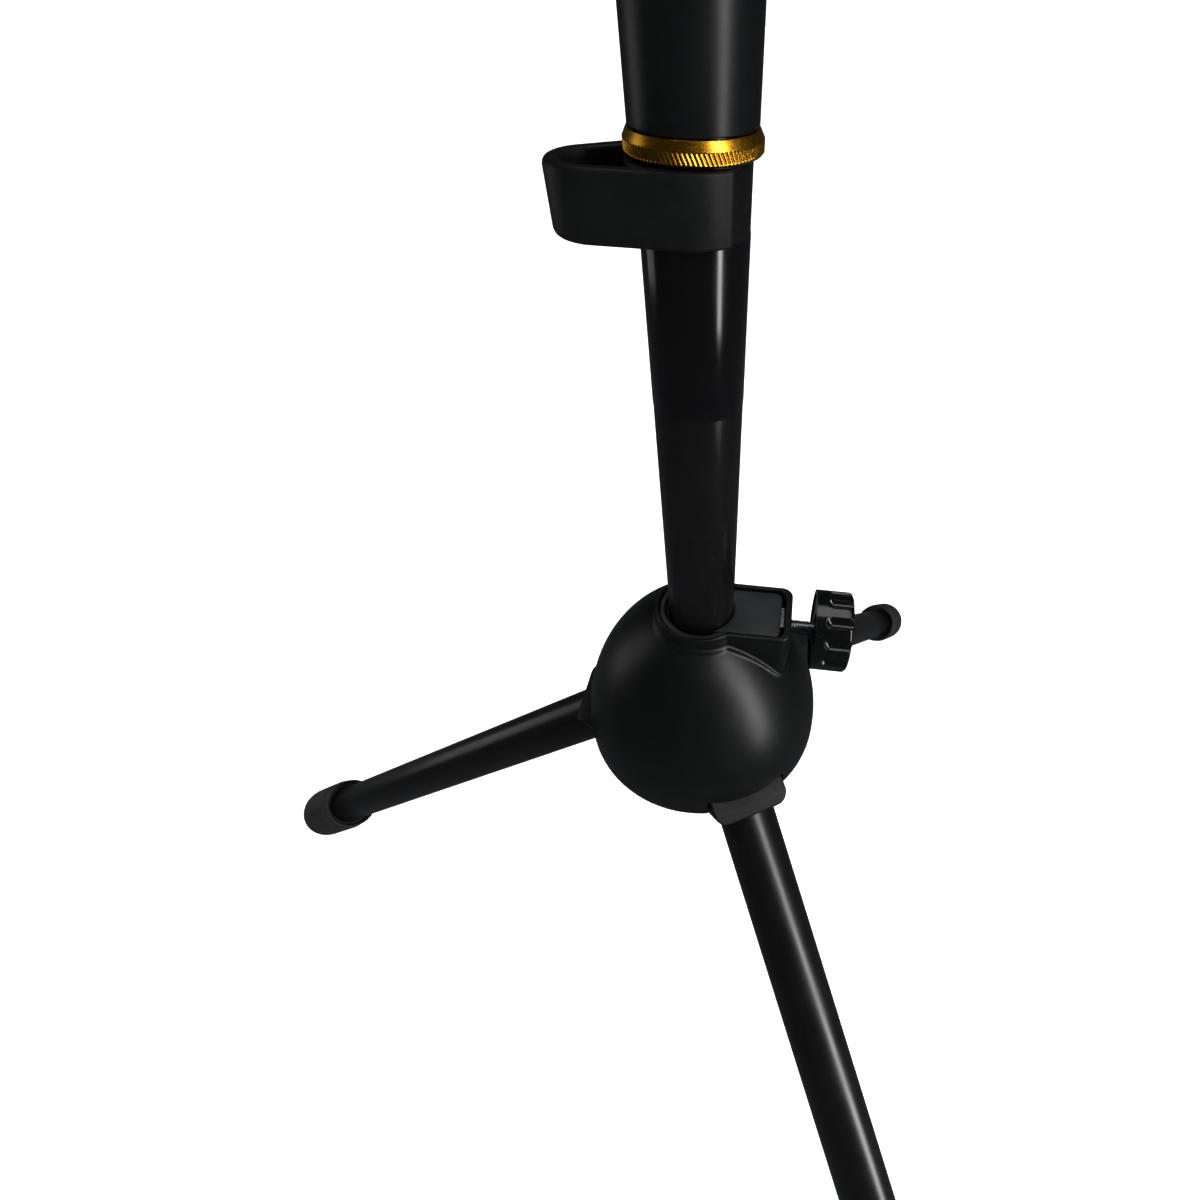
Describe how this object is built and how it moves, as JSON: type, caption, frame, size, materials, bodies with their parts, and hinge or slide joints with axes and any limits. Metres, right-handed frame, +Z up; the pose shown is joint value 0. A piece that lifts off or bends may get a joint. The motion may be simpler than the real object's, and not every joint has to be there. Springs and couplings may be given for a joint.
{
  "type": "desktop microphone stand",
  "caption": "Low tripod microphone stand with an egg-shaped folding hub, thumbscrew clamp, telescoping tube, twist clutch and cable clip.",
  "frame": {"origin": "on the floor, at the middle of the footprint's bounding box; the tube's axis stands 57.4 mm from it along +X", "axes": "+Z up along the tube; +X from the tube towards the thumbscrew, opposite leg 1"},
  "size_m": [0.3774, 0.4312, 0.4535],
  "materials": {
    "hub_shell": "satin moulded black",
    "grey_insert": "matt moulded dark grey",
    "base_plate": "matt moulded black",
    "zinc_screw": "bright zinc plated",
    "pin_steel": "ground steel",
    "leg_plug": "matt moulded black",
    "leg_paint": "satin black powder coat",
    "foot_rubber": "matt moulded rubber",
    "knob_plastic": "gloss moulded black",
    "tube_paint": "semi-gloss black paint",
    "label_film": "high-gloss film, no lettering",
    "clip_rubber": "matt moulded rubber",
    "gold_anodised": "gold anodised, knurled",
    "threaded_metal": "nickel plated thread",
    "clutch_coat": "satin black coating"
  },
  "bodies": {
    "hub": {"hub_shell": "hub_shell", "guide_bush": "grey_insert", "lower_bush": "grey_insert", "base_plate": "base_plate", "base_screw_1": "zinc_screw", "base_screw_2": "zinc_screw", "base_screw_3": "zinc_screw", "pivot_pin_1": "pin_steel", "pivot_pin_2": "pin_steel", "pivot_pin_3": "pin_steel", "clamp_nut": "zinc_screw"},
    "clamp_block": {"pressure_block": "grey_insert"},
    "clamp_knob": {"clamp_screw": "zinc_screw", "clamp_knob": "knob_plastic"},
    "lower_tube": {"outer_tube": "tube_paint", "tube_end_ring": "base_plate", "label_sleeve": "label_film", "threaded_sleeve": "threaded_metal", "clutch_collet": "grey_insert"},
    "cable_clip": {"cable_clip": "clip_rubber"},
    "lock_ring": {"lock_ring": "gold_anodised"},
    "clutch": {"clutch_grip": "clutch_coat"},
    "mic_tube": {"inner_tube": "tube_paint", "inner_bush": "grey_insert", "stud_collar": "clutch_coat", "mic_stud": "threaded_metal"},
    "leg_1": {"leg_plug_1": "leg_plug", "leg_tube_1": "leg_paint", "rubber_foot_1": "foot_rubber"},
    "leg_2": {"leg_plug_2": "leg_plug", "leg_tube_2": "leg_paint", "rubber_foot_2": "foot_rubber"},
    "leg_3": {"leg_plug_3": "leg_plug", "leg_tube_3": "leg_paint", "rubber_foot_3": "foot_rubber"}
  },
  "joints": [
    {"name": "leg_fold_1", "type": "hinge", "parent": "hub", "child": "leg_1", "pos_m": [0.02986, 0, 0.18053], "axis": [0, -1, 0], "range_deg": [0, 48]},
    {"name": "leg_fold_2", "type": "hinge", "parent": "hub", "child": "leg_2", "pos_m": [0.07111, -0.02382, 0.18053], "axis": [0.866, 0.5, 0], "range_deg": [0, 48]},
    {"name": "leg_fold_3", "type": "hinge", "parent": "hub", "child": "leg_3", "pos_m": [0.07111, 0.02382, 0.18053], "axis": [-0.866, 0.5, 0], "range_deg": [0, 48]},
    {"name": "tube_slide", "type": "slide", "parent": "hub", "child": "lower_tube", "axis": [0, 0, 1], "range_m": [-0.095, 0]},
    {"name": "clip_swivel", "type": "hinge", "parent": "lower_tube", "child": "cable_clip", "pos_m": [0.05736, 0, 0.34509], "axis": [0, 0, 1], "continuous": true},
    {"name": "lock_ring_turn", "type": "hinge", "parent": "lower_tube", "child": "lock_ring", "pos_m": [0.05736, 0, 0.35245], "axis": [0, 0, 1], "range_deg": [0, 90]},
    {"name": "clutch_twist", "type": "hinge", "parent": "lower_tube", "child": "clutch", "pos_m": [0.05736, 0, 0.38225], "axis": [0, 0, 1], "range_deg": [0, 120]},
    {"name": "height_slide", "type": "slide", "parent": "lower_tube", "child": "mic_tube", "axis": [0, 0, 1], "range_m": [0, 0.15]},
    {"name": "clamp_slide", "type": "slide", "parent": "hub", "child": "clamp_block", "axis": [1, 0, 0], "range_m": [0, 0.0008]},
    {"name": "knob_turn", "type": "hinge", "parent": "clamp_block", "child": "clamp_knob", "pos_m": [0.09496, 0, 0.2323], "axis": [1, 0, 0], "range_deg": [0, 360]}
  ],
  "couplings": [
    {"joint": "knob_turn", "follows": "clamp_slide", "rad_per_m": 7853.9}
  ]
}
